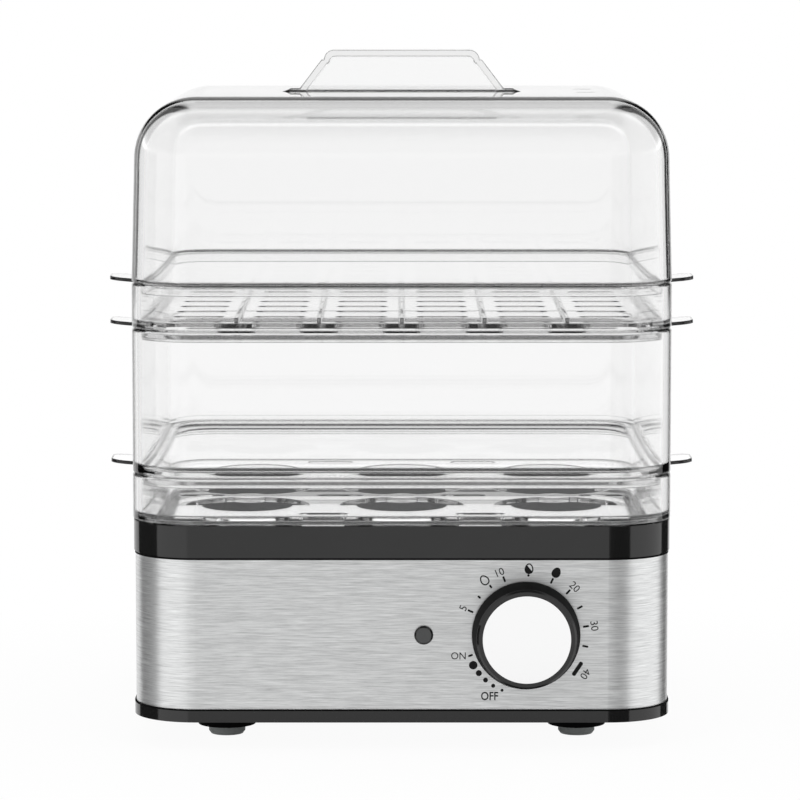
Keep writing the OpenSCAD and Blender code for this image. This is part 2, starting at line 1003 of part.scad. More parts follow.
// Three rows of egg holes, with steam slots in front of, between and behind them.
// The lobes of the front row point to the back, and those of the other rows to the front.
module egg_pattern() {
    half_d = clear_d / 2 - wall - lip_gap - lip_t - wedge_w;
    for (i = [-1:1], j = [-1:1])
        translate([i * egg_px, j * egg_py])
            rotate(j < 0 ? 0 : 180)
                egg_hole();
    for (x = [-1, 1], y = [-1, 1]) {
        translate([x * egg_px / 2, y * (half_d - end_slot_in)])
            slot(floor_slot_l, floor_slot_w);
        for (across = [egg_px / 2 - row_slot_in, egg_px + row_slot_out])
            translate([x * across, y * row_slot_y])
                slot(floor_slot_l, floor_slot_w);
    }
}

module egg_tray() {
    color("#e8ecee", 0.35)
        translate([0, 0, egg_z]) {
            tier_wall(egg_tray_h);
            seat(ledge_h, 0);
            ears(egg_tray_h);
            difference() {
                translate([0, 0, ledge_h - floor_t])
                    tray_floor();
                linear_extrude(3 * ledge_h, center = true)
                    egg_pattern();
            }
        }
}

// The lower tray is an open wall that makes room for the eggs standing in the egg tray.
module lower_tray() {
    color("#e8ecee", 0.35)
        translate([0, 0, lower_z]) {
            tier_wall(lower_tray_h);
            seat(open_ledge_h, ledge_gusset);
            ears(lower_tray_h);
        }
}

module upper_tray() {
    rib_l = clear_d - 2 * (wall + lip_gap + lip_t + wedge_w);
    color("#e8ecee", 0.35)
        translate([0, 0, upper_z]) {
            tier_wall(upper_tray_h);
            seat(ledge_h, 0);
            ears(upper_tray_h);
            difference() {
                translate([0, 0, ledge_h - floor_t])
                    tray_floor();
                linear_extrude(3 * ledge_h, center = true)
                    for (i = [0 : tray_cols - 1], j = [0 : tray_rows - 1])
                        translate([(i - (tray_cols - 1) / 2) * tray_px, (j - (tray_rows - 1) / 2) * tray_py])
                            slot(tray_slot_l, tray_slot_w);
            }
            for (i = [1 : tray_cols - 1])
                translate([(i - tray_cols / 2) * tray_px, 0, ledge_h - floor_t / 2])
                    linear_extrude(rib_h + floor_t / 2)
                        square([rib_t, rib_l], center = true);
        }
}

// Side view of the lid: a bevelled foot, leaning walls and a top edge as round as the plan corners.
module lid_side(w, r, h) {
    top_r = r - lid_lean;
    polygon([
        [edge - w / 2, 0], [w / 2 - edge, 0], [w / 2, edge],
        [w / 2 - lid_lean, h - top_r], [lid_lean - w / 2, h - top_r], [-w / 2, edge]
    ]);
    translate([r - w / 2, h - top_r])
        square([w - 2 * r, top_r]);
    for (x = [-1, 1])
        translate([x * (w / 2 - r), h - top_r])
            circle(top_r);
}

module lid_form(w, d, r, h) {
    top_r = r - lid_lean;
    rotate([90, 0, 0])
        linear_extrude(d - 2 * r, center = true)
            lid_side(w, r, h);
    rotate([90, 0, 90])
        linear_extrude(w - 2 * r, center = true)
            lid_side(d, r, h);
    four(w / 2 - r, d / 2 - r) {
        cylinder(h = edge, r1 = r - edge, r2 = r);
        translate([0, 0, edge])
            cylinder(h = h - top_r - edge, r1 = r, r2 = top_r);
        translate([0, 0, h - top_r])
            sphere(top_r);
    }
}

// Front view of the grip, pulled in all round by `inset`, standing on a base line at z = 0.
module grip_side(inset) {
    slope = atan2((grip_base - grip_top) / 2, grip_h);
    corner = grip_corner - inset / 2;
    base = grip_base / 2 - inset / cos(slope);
    top_z = grip_h - inset;
    top = base - top_z * tan(slope);
    turn = corner * tan((90 - slope) / 2);
    intersection() {
        polygon([[-base, 0], [base, 0], [top, top_z], [-top, top_z]]);
        union() {
            translate([-base, 0])
                square([2 * base, top_z - corner]);
            translate([turn - top, 0])
                square([2 * (top - turn), top_z]);
            for (x = [-1, 1])
                translate([x * (top - turn), top_z - corner])
                    circle(corner);
        }
    }
}

module lid() {
    color("#e8ecee", 0.35)
        translate([0, 0, lid_z]) {
            difference() {
                union() {
                    lid_form(clear_w, clear_d, clear_r, lid_h);
                    translate([0, 0, lid_h - lid_wall / 2])
                        rotate([90, 0, 0])
                            linear_extrude(grip_d, center = true) {
                                translate([0, lid_wall / 2])
                                    grip_side(0);
                                square([grip_base, lid_wall], center = true);
                                for (x = [-1, 1])
                                    translate([x * grip_base / 2, lid_wall / 2])
                                        difference() {
                                            square([2 * grip_flare, 2 * flare_h], center = true);
                                            translate([x * flare_out, flare_r])
                                                circle(flare_r);
                                        }
                            }
                }
                lid_form(clear_w - 2 * lid_wall, clear_d - 2 * lid_wall, clear_r - lid_wall, lid_h - lid_wall);
                translate([0, 0, -edge])
                    slab(clear_w - 2 * lid_wall, clear_d - 2 * lid_wall, clear_r - lid_wall, 3 * edge);
                translate([0, 0, lid_h])
                    rotate([90, 0, 0])
                        linear_extrude(grip_d - 2 * grip_wall, center = true) {
                            grip_side(grip_wall);
                            translate([grip_mouth - grip_base / 2, -2 * lid_wall])
                                square([grip_base - 2 * grip_mouth, 2 * lid_wall + push_play]);
                        }
                for (y = [-1, 1])
                    translate([vent_x, y * vent_y, lid_h - 2 * lid_wall])
                        linear_extrude(4 * lid_wall)
                            slot(lid_vent_l, lid_vent_w);
                drip_groove();
            }
            lid_seat();
        }
}

bottom_cover();
rubber_feet();
case_screws();
steel_band();
top_collar();
pan_gasket();
water_pan();
pan_nuts();
heat_spreader();
heating_element();
thermostat();
thermostat_screws();
thermal_fuse();
fuse_clip();
timer_case();
timer_bell();
timer_screws();
timer_shaft();
knob_body();
knob_face();
lamp_lens();
lamp_clip();
neon_lamp();
cord_gland();
gland_nut();
terminal_block();
terminal_screws();
egg_tray();
lower_tray();
upper_tray();
lid();
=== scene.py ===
# %% [markdown]
# # Electric egg cooker
#
# The solids of this cooker come from CAD and stay as they are. This lesson gives them their finishes,
# prints the timer dial on the steel, and sets up the camera and a small studio, one step per cell.
# Everything is in metres, with X to the right, Y to the back and Z up from the table.

# %% Load the solids
import json
import math

import bmesh
import bpy
from mathutils import Matrix, Vector


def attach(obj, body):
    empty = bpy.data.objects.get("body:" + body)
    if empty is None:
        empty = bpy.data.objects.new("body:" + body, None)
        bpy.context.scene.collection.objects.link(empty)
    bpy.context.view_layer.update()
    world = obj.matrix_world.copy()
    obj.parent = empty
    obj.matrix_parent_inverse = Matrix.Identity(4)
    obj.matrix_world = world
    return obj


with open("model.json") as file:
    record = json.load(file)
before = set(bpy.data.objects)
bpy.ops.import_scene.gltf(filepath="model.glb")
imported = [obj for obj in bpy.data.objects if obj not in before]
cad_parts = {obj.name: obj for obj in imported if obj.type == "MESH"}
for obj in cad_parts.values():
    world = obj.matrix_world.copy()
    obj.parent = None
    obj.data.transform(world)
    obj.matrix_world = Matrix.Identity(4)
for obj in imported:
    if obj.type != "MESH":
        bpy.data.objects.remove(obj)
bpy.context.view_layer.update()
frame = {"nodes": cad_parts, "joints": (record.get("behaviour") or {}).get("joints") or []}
nodes = frame["nodes"]
scene = bpy.context.scene
MM = 0.001

# %% [markdown]
# ## Camera
#
# A product picture like this is taken from a little above the lid with a long lens, so that upright
# edges stay upright. A short lens close by would open up the tray floors too much. The distance was
# chosen so that the back rims of the trays sit as far above the front rims as they do in the picture.

# %% Camera
camera_data = bpy.data.cameras.new("camera")
camera = bpy.data.objects.new("camera", camera_data)
scene.collection.objects.link(camera)
camera.location = Vector((-0.7, -1676, 314.5)) * MM
aim = Vector((-0.7, -95, 140)) * MM
camera.rotation_euler = (aim - camera.location).to_track_quat("-Z", "Y").to_euler()
VIEW_DEG = 11.325
camera_data.sensor_width = 36
camera_data.lens = camera_data.sensor_width / 2 / math.tan(math.radians(VIEW_DEG / 2))
camera_data.clip_end = 60
scene.camera = camera
scene.view_settings.view_transform = "Standard"
print("lens", round(camera_data.lens, 1), "mm")

# %% [markdown]
# ## Helpers for materials
#
# Colours are written as sRGB hex, as a paint chart gives them, and Blender wants linear light, so one
# function turns one into the other. Another function adds a node: settings are given by name, and each
# input gets a plain value or the output of another node. A material is then started with an empty tree,
# and at its end it is put on the solids that wear it.

# %% Helpers for materials
# noise textures hardly leave this range
NOISE_LOW, NOISE_HIGH = 0.3, 0.7


def paint(code):
    """Linear RGBA of an sRGB hex colour."""
    parts = [int(code[i : i + 2], 16) / 255 for i in (1, 3, 5)]
    return [c / 12.92 if c <= 0.04045 else ((c + 0.055) / 1.055) ** 2.4 for c in parts] + [1]


def greys(table, low, high):
    """Stops of a ramp that runs from `low` to `high`, out of pairs of a place and a grey level."""
    return [((spot - low) / (high - low), (level, level, level, 1)) for spot, level in table]


def add(tree, kind, inputs=None, stops=(), between="LINEAR", **settings):
    """Adds a node. `inputs` maps an input's name or number to a value or to an output to link.

    A colour ramp also takes `stops`, pairs of a position and a colour, and what happens `between` them.
    Inputs of a Map Range go by number: 0 is the value, 1 and 2 its range, 3 and 4 the range it is mapped to.
    """
    made = tree.nodes.new("ShaderNode" + kind)
    for name, value in settings.items():
        setattr(made, name, value)
    for name, value in (inputs or {}).items():
        if isinstance(value, bpy.types.NodeSocket):
            tree.links.new(value, made.inputs[name])
        else:
            made.inputs[name].default_value = value
    if stops:
        made.color_ramp.interpolation = between
        points = made.color_ramp.elements
        while len(points) < len(stops):
            points.new(1.0)
        for point, (position, colour) in zip(points, stops):
            point.position = position
            point.color = colour
    return made


def start(name):
    """A new material with an empty tree, and the place of its texture."""
    material = bpy.data.materials.new(name)
    material.use_nodes = True
    material.node_tree.nodes.clear()
    return material, material.node_tree, add(material.node_tree, "TexCoord").outputs["Object"]


def wear(material, *names):
    """Puts a material on CAD solids."""
    for name in names:
        slots = nodes[name].data.materials
        slots.clear()
        slots.append(material)
    print(material.name, "on", ", ".join(names))


# %% [markdown]
# ## Clear tiers: styrene acrylonitrile, injection moulded and polished
#
# The trays and lid are one clear resin with a polished surface. Alpha would only fade them, and thin
# rims would lose the dark lines that make clear plastic readable. So the solids refract, and a weak
# grey absorption in the volume darkens light that has run a long way inside a wall, which is what
# draws those lines. Straight through one wall it takes only a few per cent.
#
# Moulded edges are rounded by about a millimetre, finer than the solids show, so a Bevel node rounds the
# normals. Such an edge bends light far aside and looks dark. A second, tighter Bevel finds the edges by how
# far its normal leans from the face, and painted shade darkens the resin's colour there.

# %% Edges of the clear tiers
material, tree, place = start("clear_moulded_resin")
EDGE_MM, CORNER_MM, BEVEL_RAYS = 1.0, 0.5, 6
# cosines of the lean at which the painted edge shade starts and is full
LEAN_START, LEAN_FULL = 0.985, 0.89
edge = add(tree, "Bevel", {"Radius": EDGE_MM * MM}, samples=BEVEL_RAYS)
corner = add(tree, "Bevel", {"Radius": CORNER_MM * MM}, samples=BEVEL_RAYS)
face = add(tree, "NewGeometry").outputs["Normal"]
lean = add(tree, "VectorMath", {0: corner.outputs[0], 1: face}, operation="DOT_PRODUCT")
rim = add(tree, "MapRange", {0: lean.outputs["Value"], 1: LEAN_START, 2: LEAN_FULL})

# %% [markdown]
# The ears are thin plates seen on edge, where light runs the whole width of an ear before it leaves. Their
# upright faces get the same painted shade. They are found by how far out they lie and by normals that point
# sideways.

# %% Ears of the clear tiers
EAR_MM, EAR_FADE_MM = 108.4, 0.2
SIDEWAYS, TILTED = 0.3, 0.5
across = add(tree, "VectorMath", {0: place}, operation="ABSOLUTE")
upright = add(tree, "VectorMath", {0: face}, operation="ABSOLUTE")
out = add(tree, "SeparateXYZ", {0: across.outputs[0]})
up = add(tree, "SeparateXYZ", {0: upright.outputs[0]})
ear = add(tree, "MapRange", {
    0: out.outputs["X"], 1: (EAR_MM - EAR_FADE_MM) * MM, 2: (EAR_MM + EAR_FADE_MM) * MM,
})
side = add(tree, "MapRange", {0: up.outputs["Z"], 1: SIDEWAYS, 2: TILTED, 3: 1.0, 4: 0.0})
# mask of the ears' upright faces, which get painted shade
ear_shade_mask = add(tree, "Math", {0: ear.outputs[0], 1: side.outputs[0]}, operation="MULTIPLY")

# %% [markdown]
# The resin itself has the refraction of styrene plastics, and a slow noise leaves a trace of haze where it
# flowed in the mould. Clear walls throw hardly any shadow, and light needs enough bounces to get through
# the whole stack, or it would end in black.

# %% Clear resin
ABSORB_PER_M, FLOW_MM, HAZE = 8, 35, 0.012
flow = add(tree, "TexNoise", {"Vector": place, "Scale": 1 / (FLOW_MM * MM), "Detail": 1.0})
haze = add(tree, "MapRange", {0: flow.outputs[0], 1: NOISE_LOW, 2: NOISE_HIGH, 3: 0.0, 4: HAZE})
painted_edge_shade = add(tree, "Math", {0: rim.outputs[0], 1: ear_shade_mask.outputs[0]}, operation="MAXIMUM")
# painted shade: edges and ears of the clear resin get a near-black base colour
tone = add(tree, "MixRGB", {0: painted_edge_shade.outputs[0], 1: paint("#fefefe"), 2: paint("#1c1c1c")})
shader = add(tree, "BsdfPrincipled", {
    "Base Color": tone.outputs[0], "Roughness": haze.outputs[0], "IOR": 1.5,
    "Transmission Weight": 1.0, "Normal": edge.outputs[0],
})
inside = add(tree, "VolumeAbsorption", {"Color": paint("#000000"), "Density": ABSORB_PER_M})
add(tree, "OutputMaterial", {"Surface": shader.outputs[0], "Volume": inside.outputs[0]})
CLEAR = ["egg_tray", "lower_tray", "upper_tray", "lid"]
wear(material, *CLEAR)
for name in CLEAR:
    nodes[name].visible_shadow = False
scene.cycles.max_bounces = 16
scene.cycles.transmission_bounces = 12
scene.cycles.glossy_bounces = 4

# %% [markdown]
# ## Steel band: stainless sheet, brushed along its length
#
# Brushing leaves fine scratches that run round the band. One noise, squeezed in height and stretched
# along the band, gives each scratch its own brightness and roughness, and the shine is drawn out across
# the scratches by anisotropy. The real lines are finer than a pixel, so they are drawn about half a
# millimetre high.

# %% Steel band
material, tree, place = start("brushed_stainless")
SCRATCH_MM, SCRATCH_LONG_MM = 0.45, 11
lengthways, upwards = 1 / (SCRATCH_LONG_MM * MM), 1 / (SCRATCH_MM * MM)
squeeze = add(tree, "Mapping", {"Vector": place, "Scale": (lengthways, lengthways, upwards)})
scratch = add(tree, "TexNoise", {
    "Vector": squeeze.outputs[0], "Scale": 1.0, "Detail": 5.0, "Roughness": 0.7,
})
tone = add(tree, "ValToRGB", {0: scratch.outputs[0]},
           stops=((0.3, paint("#bfc0c0")), (0.72, paint("#f8f9f9"))))
polish = add(tree, "MapRange", {0: scratch.outputs[0], 1: NOISE_LOW, 2: NOISE_HIGH, 3: 0.34, 4: 0.42})
ripple = add(tree, "Bump", {"Strength": 0.12, "Distance": 0.02 * MM, "Height": scratch.outputs[0]})
along = add(tree, "Tangent", direction_type="RADIAL", axis="Z")
shader = add(tree, "BsdfPrincipled", {
    "Base Color": tone.outputs[0], "Metallic": 1.0, "Roughness": polish.outputs[0],
    "Anisotropic": 0.5, "Anisotropic Rotation": 0.25,
    "Normal": ripple.outputs[0], "Tangent": along.outputs[0],
})
add(tree, "OutputMaterial", {"Surface": shader.outputs[0]})
wear(material, "steel_band")

# %% [markdown]
# ## Black mouldings: ABS, polished, with painted shade low down and along the steel
#
# Collar, base and gland are black ABS from a polished mould, so their faces mirror the room. A slow noise
# varies the gloss a little, as handled plastic does. The feet and the narrow edges along the steel lie in
# shadow, so shade is painted there: a darker tone, matt and with hardly any reflection, so they stay black.
# A ramp over the height holds these bands.

# %% Black mouldings
material, tree, place = start("black_polished_abs")
PIT_MM, CLOUD_MM, TALL_MM = 0.35, 18, 100
# heights in millimetres where a band of painted shade, dark and matt (1), or a polished one (0) starts
MATT_SHADE = ((0, 1), (10.8, 0), (15.5, 1), (16.4, 0), (76.0, 1), (76.7, 0))
height = add(tree, "SeparateXYZ", {0: place})
share = add(tree, "MapRange", {0: height.outputs["Z"], 1: 0.0, 2: TALL_MM * MM})
matt_shade = add(tree, "ValToRGB", {0: share.outputs[0]}, stops=greys(MATT_SHADE, 0, TALL_MM), between="CONSTANT")
pits = add(tree, "TexNoise", {"Vector": place, "Scale": 1 / (PIT_MM * MM), "Detail": 2.0})
cloud = add(tree, "TexNoise", {"Vector": place, "Scale": 1 / (CLOUD_MM * MM), "Detail": 2.0})
gloss = add(tree, "MapRange", {0: cloud.outputs[0], 1: NOISE_LOW, 2: NOISE_HIGH, 3: 0.08, 4: 0.12})
skin = add(tree, "Bump", {"Strength": 0.02, "Distance": 0.02 * MM, "Height": pits.outputs[0]})
fine = add(tree, "MixRGB", {0: pits.outputs[0], 1: paint("#181818"), 2: paint("#1d1d1d")})
# painted shade: the bands under the cooker and along the steel get a near-black tone
tone_with_painted_shade = add(tree, "MixRGB", {0: matt_shade.outputs[0], 1: fine.outputs[0], 2: paint("#0a0a0a")})
rough = add(tree, "MixRGB", {0: matt_shade.outputs[0], 1: gloss.outputs[0], 2: (0.8, 0.8, 0.8, 1)})
shine = add(tree, "MapRange", {0: matt_shade.outputs[0], 3: 0.5, 4: 0.05})
shader = add(tree, "BsdfPrincipled", {
    "Base Color": tone_with_painted_shade.outputs[0], "Roughness": rough.outputs[0], "IOR": 1.5,
    "Specular IOR Level": shine.outputs[0], "Normal": skin.outputs[0],
})
add(tree, "OutputMaterial", {"Surface": shader.outputs[0]})
wear(material, "bottom_cover", "top_collar", "cord_gland", "gland_nut")

# %% [markdown]
# The knob is moulded in the same black, but its grip is left matt so that fingers hold it. Only the rim
# round the disc is polished. The grip also has a weaker reflection and a darker tone, and that darker tone is
# painted shade. The distance from the panel tells the two apart.

# %% Knob
material, tree, place = start("black_knob_abs")
RIM_MM, RIM_FADE_MM = -106.1, 0.3
reach = add(tree, "SeparateXYZ", {0: place})
rim = add(tree, "MapRange", {
    0: reach.outputs["Y"], 1: (RIM_MM + RIM_FADE_MM) * MM, 2: (RIM_MM - RIM_FADE_MM) * MM,
})
grip = add(tree, "MapRange", {0: rim.outputs[0], 3: 0.7, 4: 0.1})
shine = add(tree, "MapRange", {0: rim.outputs[0], 3: 0.1, 4: 0.5})
# painted shade: the grip is drawn darker than the rim
tone_with_painted_shade = add(tree, "MixRGB", {0: rim.outputs[0], 1: paint("#0c0c0c"), 2: paint("#1c1c1c")})
shader = add(tree, "BsdfPrincipled", {
    "Base Color": tone_with_painted_shade.outputs[0], "Roughness": grip.outputs[0], "Specular IOR Level": shine.outputs[0],
})
add(tree, "OutputMaterial", {"Surface": shader.outputs[0]})
wear(material, "knob_body")

# %% [markdown]
# ## Bright knob disc: aluminium, diamond cut and polished
#
# The disc in the knob is a turned plate that mirrors the white room. Turning leaves rings about its
# centre. Rings come from the distance to the knob's axis, which a Mapping node moves to the middle.

# %% Bright knob disc
knob_axis = Vector(next(j for j in frame["joints"] if j["name"] == "timer_turn")["pos_m"])
material, tree, place = start("turned_aluminium")
RING_MM = 0.25
centred = add(tree, "Mapping", {"Vector": place, "Location": -knob_axis})
flat = add(tree, "VectorMath", {0: centred.outputs[0], 1: (1, 0, 1)}, operation="MULTIPLY")
radius = add(tree, "VectorMath", {0: flat.outputs[0]}, operation="LENGTH")
turns = add(tree, "Math", {0: radius.outputs["Value"], 1: math.tau / (RING_MM * MM)}, operation="MULTIPLY")
groove = add(tree, "Math", {0: turns.outputs[0]}, operation="SINE")
sheen = add(tree, "MapRange", {0: groove.outputs[0], 1: -1.0, 2: 1.0, 3: 0.03, 4: 0.06})
shader = add(tree, "BsdfPrincipled", {
    "Base Color": paint("#fdfdfd"), "Metallic": 1.0, "Roughness": sheen.outputs[0],
})
add(tree, "OutputMaterial", {"Surface": shader.outputs[0]})
wear(material, "knob_face")

# %% [markdown]
# ## Small finishes
#
# The other finishes are plain: a colour that varies a little, a gloss and a grain. They differ only in
# numbers, so a table holds them: two tones, metallic, roughness, grain size and how deep the grain is.

# %% Small finishes
# how far the gloss varies, and how high the relief is beside the size of its grain
SPREAD, RELIEF = 0.1, 0.1
PLAIN = {
    "grey_rubber": ("#989c9b", "#a4a8a7", 0, 0.7, 0.6, 0.25, ["rubber_feet"]),
    "red_silicone": ("#833329", "#96423a", 0, 0.5, 1.5, 0.1, ["pan_gasket"]),
    "nonstick_coating": ("#5a5b5c", "#6a6b6c", 0, 0.38, 0.5, 0.1, ["water_pan"]),
    "zinc_plated_steel": ("#b3b3b1", "#c4c4c1", 1, 0.32, 0.8, 0.05,
                          ["case_screws", "pan_nuts", "thermostat_screws", "timer_screws", "timer_shaft",
                           "fuse_clip", "lamp_clip"]),
    "cast_aluminium": ("#9fa1a3", "#b4b6b8", 1, 0.5, 0.7, 0.3, ["heat_spreader"]),
    "heater_sheath": ("#6d685f", "#87837c", 1, 0.45, 4.0, 0.05, ["heating_element"]),
    "cream_insulation": ("#d2cdbd", "#dedaca", 0, 0.55, 0.6, 0.1,
                         ["thermostat", "thermal_fuse", "timer_case", "terminal_block"]),
    "plain_brass": ("#c2aa60", "#d2bb76", 1, 0.3, 1.2, 0.05, ["timer_bell", "terminal_screws"]),
    "neon_glass": ("#d98a5a", "#e0986a", 0, 0.08, 1.0, 0.0, ["neon_lamp"]),
}
for name, (dark, light, metallic, rough, grain_mm, depth, wearers) in PLAIN.items():
    material, tree, place = start(name)
    grain = add(tree, "TexNoise", {"Vector": place, "Scale": 1 / (grain_mm * MM), "Detail": 3.0})
    tone = add(tree, "MixRGB", {0: grain.outputs[0], 1: paint(dark), 2: paint(light)})
    gloss = add(tree, "MapRange", {
        0: grain.outputs[0], 1: NOISE_LOW, 2: NOISE_HIGH, 3: rough * (1 - SPREAD), 4: rough * (1 + SPREAD),
    })
    relief = add(tree, "Bump", {
        "Strength": depth, "Distance": RELIEF * grain_mm * MM, "Height": grain.outputs[0],
    })
    shader = add(tree, "BsdfPrincipled", {
        "Base Color": tone.outputs[0], "Metallic": metallic, "Roughness": gloss.outputs[0],
        "Normal": relief.outputs[0],
    })
    add(tree, "OutputMaterial", {"Surface": shader.outputs[0]})
    wear(material, *wearers)

# %% [markdown]
# ## Lamp lens: smoked acrylic
#
# The lens is a smoked disc whose bevelled rim looks darker than its face, and that darker rim is painted
# shade. The distance from the lamp's axis draws the rim.

# %% Lamp lens
material, tree, place = start("smoked_lens")
LAMP_MM, FACE_MM, FACE_FADE_MM = Vector((8.7, -95, 46.2)), 2.9, 0.3
centred = add(tree, "Mapping", {"Vector": place, "Location": -LAMP_MM * MM})
flat = add(tree, "VectorMath", {0: centred.outputs[0], 1: (1, 0, 1)}, operation="MULTIPLY")
radius = add(tree, "VectorMath", {0: flat.outputs[0]}, operation="LENGTH")
rim = add(tree, "MapRange", {0: radius.outputs["Value"], 1: FACE_MM * MM, 2: (FACE_MM + FACE_FADE_MM) * MM})
# painted shade: the bevelled rim gets a near-black tone
tone = add(tree, "MixRGB", {0: rim.outputs[0], 1: paint("#464747"), 2: paint("#141414")})
shader = add(tree, "BsdfPrincipled", {"Base Color": tone.outputs[0], "Roughness": 0.15})
add(tree, "OutputMaterial", {"Surface": shader.outputs[0]})
wear(material, "lamp_lens")

# %% [markdown]
# ## Dial print: black ink on the steel
#
# Ticks, dots, egg signs and figures are screen-printed round the knob. An image would blur, so each mark
# is a thin raised shape of ink. They are drawn flat, in millimetres from the knob's axis with angles
# clockwise from the top, and one turn at the end stands them against the steel.

# %% Ink marks
INK_MM = 0.06
# share of a bar's narrow side that its corners are rounded by
ROUNDING = 0.35
dial = bmesh.new()


def at_dial(angle_deg, radius_mm):
    """Place on the dial, with up pointing away from the knob's axis."""
    return Matrix.Rotation(-math.radians(angle_deg), 4, "Z") @ Matrix.Translation((0, radius_mm, 0))


def raise_ink(faces):
    """Gives flat faces the thickness of the ink."""
    top = bmesh.ops.extrude_face_region(dial, geom=faces)["geom"]
    corners = [g for g in top if isinstance(g, bmesh.types.BMVert)]
    bmesh.ops.translate(dial, verts=corners, vec=(0, 0, INK_MM))


def bar(place, wide, high):
    """A printed bar with rounded ends."""
    made = bmesh.ops.create_grid(dial, x_segments=1, y_segments=1, size=0.5)["verts"]
    bmesh.ops.scale(dial, vec=(wide, high, 1), verts=made)
    face = made[0].link_faces[0]
    soft = bmesh.ops.bevel(dial, geom=list(face.verts), offset=ROUNDING * min(wide, high), segments=3,
                           profile=0.5, affect="VERTICES", material=-1)
    face = max({f for v in soft["verts"] for f in v.link_faces}, key=lambda f: f.calc_area())
    bmesh.ops.transform(dial, matrix=place, verts=face.verts)
    raise_ink([face])


def dot(place, radius_mm):
    """A printed round dot."""
    made = bmesh.ops.create_circle(dial, cap_ends=True, segments=24, radius=radius_mm)["verts"]
    bmesh.ops.transform(dial, matrix=place, verts=made)
    raise_ink(list(made[0].link_faces))


# %% [markdown]
# Long ticks stand at the figures, at the full egg and halfway between 20, 30 and 40. Short ones lie between
# 5 and 10, and another stands at ON. A small dot is the mark of the middle egg, five dots grow from OFF to
# ON, and a broad bar ends the scale at 40.

# %% Ticks and dots
TICK_LONG, TICK_SHORT, TICK_WIDE, TICK_RADIUS = 2.4, 1.44, 0.8, 24.0
ON_ANGLE, ON_LONG, ON_RADIUS = 249.4, 1.92, 23.5
EGG_DOT_ANGLE, EGG_DOT, EGG_DOT_RADIUS = 2.1, 0.48, 23.9
DOT_RADIUS = 24.2
END_ANGLE, END_RADIUS, END_WIDE, END_HIGH = 123.6, 24.6, 6.4, 1.6
for angle in (293.4, 338.7, 25.2, 44, 62.6, 81.8, 101):
    bar(at_dial(angle, TICK_RADIUS), TICK_WIDE, TICK_LONG)
for angle in (309.2, 324.1):
    bar(at_dial(angle, TICK_RADIUS), TICK_WIDE, TICK_SHORT)
bar(at_dial(ON_ANGLE, ON_RADIUS), TICK_WIDE, ON_LONG)
dot(at_dial(EGG_DOT_ANGLE, EGG_DOT_RADIUS), EGG_DOT)
for angle, size in ((203, 0.6), (212.4, 0.8), (221.4, 0.97), (230.6, 1.2), (239.8, 1.7)):
    dot(at_dial(angle, DOT_RADIUS), size)
bar(at_dial(END_ANGLE, END_RADIUS), END_WIDE, END_HIGH)
print(len(dial.faces), "faces of ticks and dots")

# %% [markdown]
# Three egg signs mark soft, medium and hard. Each starts as a disc that is drawn in towards its top. An
# inset makes the rim of the hollow ones, and a slanting cut leaves the middle one partly filled.

# %% Egg signs
EGG_WIDE, EGG_TALL, EGG_TAPER, RIM = 3.5, 4.3, 0.28, 0.5
CUT_SPOT, CUT_WAY, CUT_REACH = Vector((0.25, 0.1, 0)), Vector((0.75, 0.66, 0)), 0.25


def egg(place, filled):
    """An egg sign: 0 is hollow, 1 is full, and a share in between is filled up to a slanting cut."""
    made = bmesh.ops.create_circle(dial, cap_ends=True, segments=32, radius=0.5)["verts"]
    for v in made:
        v.co.x *= EGG_WIDE * (1 - EGG_TAPER * v.co.y)
        v.co.y *= EGG_TALL
    face = made[0].link_faces[0]
    ink = [face]
    if filled < 1:
        rim = bmesh.ops.inset_region(dial, faces=[face], thickness=RIM, use_boundary=True,
                                     use_even_offset=True)["faces"]
        cut = bmesh.ops.bisect_plane(
            dial, geom=[face, *face.edges, *face.verts], plane_co=CUT_SPOT, plane_no=CUT_WAY)
        yolk = [g for g in cut["geom"] if isinstance(g, bmesh.types.BMFace)]
        lower = [f for f in yolk if f.calc_center_median().dot(CUT_WAY) < CUT_REACH]
        keep = lower if filled else []
        ink = list(rim) + keep
        bmesh.ops.delete(dial, geom=[f for f in yolk if f not in keep], context="FACES_ONLY")
    bmesh.ops.transform(dial, matrix=place, verts=list({v for f in ink for v in f.verts}))
    raise_ink(ink)


egg(at_dial(323.1, 27.5), 0)
egg(at_dial(2.4, 26.6), 0.5)
egg(at_dial(25.5, 27.7), 1)
print(len(dial.faces), "faces with the egg signs")

# %% [markdown]
# Figures and the words ON and OFF are text, made a mesh first and then scaled to the height of the print.
# The figures stand with their tops away from the knob, and the words stand level.

# %% Figures and words
FIGURE_TALL = 3.0


def print_text(text, place, tall=FIGURE_TALL, wide=None, bold=0.0):
    """Prints words of a given height, and of a given width where there is one."""
    curve = bpy.data.curves.new("print", "FONT")
    curve.body = text
    curve.extrude = INK_MM / 2
    curve.offset = bold
    curve.resolution_u = 3
    holder = bpy.data.objects.new("print", curve)
    scene.collection.objects.link(holder)
    ready = holder.evaluated_get(bpy.context.evaluated_depsgraph_get())
    flat_mesh = bpy.data.meshes.new_from_object(ready)
    bpy.data.objects.remove(holder)
    before = len(dial.verts)
    dial.from_mesh(flat_mesh)
    dial.verts.ensure_lookup_table()
    letters = dial.verts[before:]
    low = Vector([min(v.co[i] for v in letters) for i in range(3)])
    high = Vector([max(v.co[i] for v in letters) for i in range(3)])
    size = tall / (high.y - low.y)
    across = wide / (high.x - low.x) if wide else size
    middle = (low + high) / 2
    fit = Matrix.Diagonal((across, size, 1, 1)) @ Matrix.Translation((-middle.x, -middle.y, -low.z))
    bmesh.ops.transform(dial, matrix=place @ fit, verts=letters)


